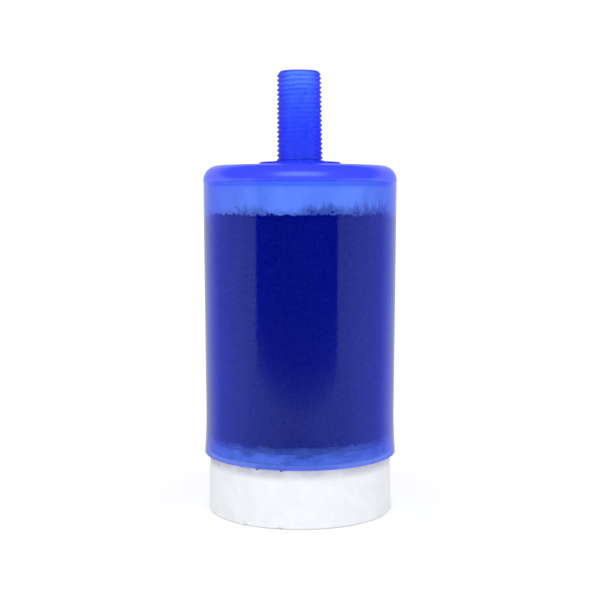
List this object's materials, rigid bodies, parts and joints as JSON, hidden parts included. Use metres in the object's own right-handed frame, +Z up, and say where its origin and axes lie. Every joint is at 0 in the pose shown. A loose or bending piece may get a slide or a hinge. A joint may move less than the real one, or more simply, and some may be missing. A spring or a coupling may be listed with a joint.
{
  "type": "air stone",
  "caption": "Cartridge air stone: clear blue cup with a hollow threaded stem, charcoal filling between pads, and a white porous stone in its mouth.",
  "frame": {"origin": "centre of the porous stone's flat foot, which the part stands on", "axes": "+Z up along the cup and its stem, towards the stem's free end; X and Y are any two directions across it"},
  "size_m": [0.0524, 0.0524, 0.119],
  "materials": {
    "cup_blue": "gloss",
    "stem_blue": "gloss",
    "screen_plastic": "satin",
    "pad_white": "matte",
    "charcoal_black": "matte",
    "felt_white": "matte",
    "stone_white": "matte",
    "sealant_white": "satin"
  },
  "bodies": {
    "root": {"cup_shell": "cup_blue", "threaded_stem": "stem_blue", "outlet_screen": "screen_plastic", "top_pad": "pad_white", "charcoal_bed": "charcoal_black", "lower_felt": "felt_white", "porous_stone": "stone_white", "stone_seal": "sealant_white"}
  },
  "joints": []
}
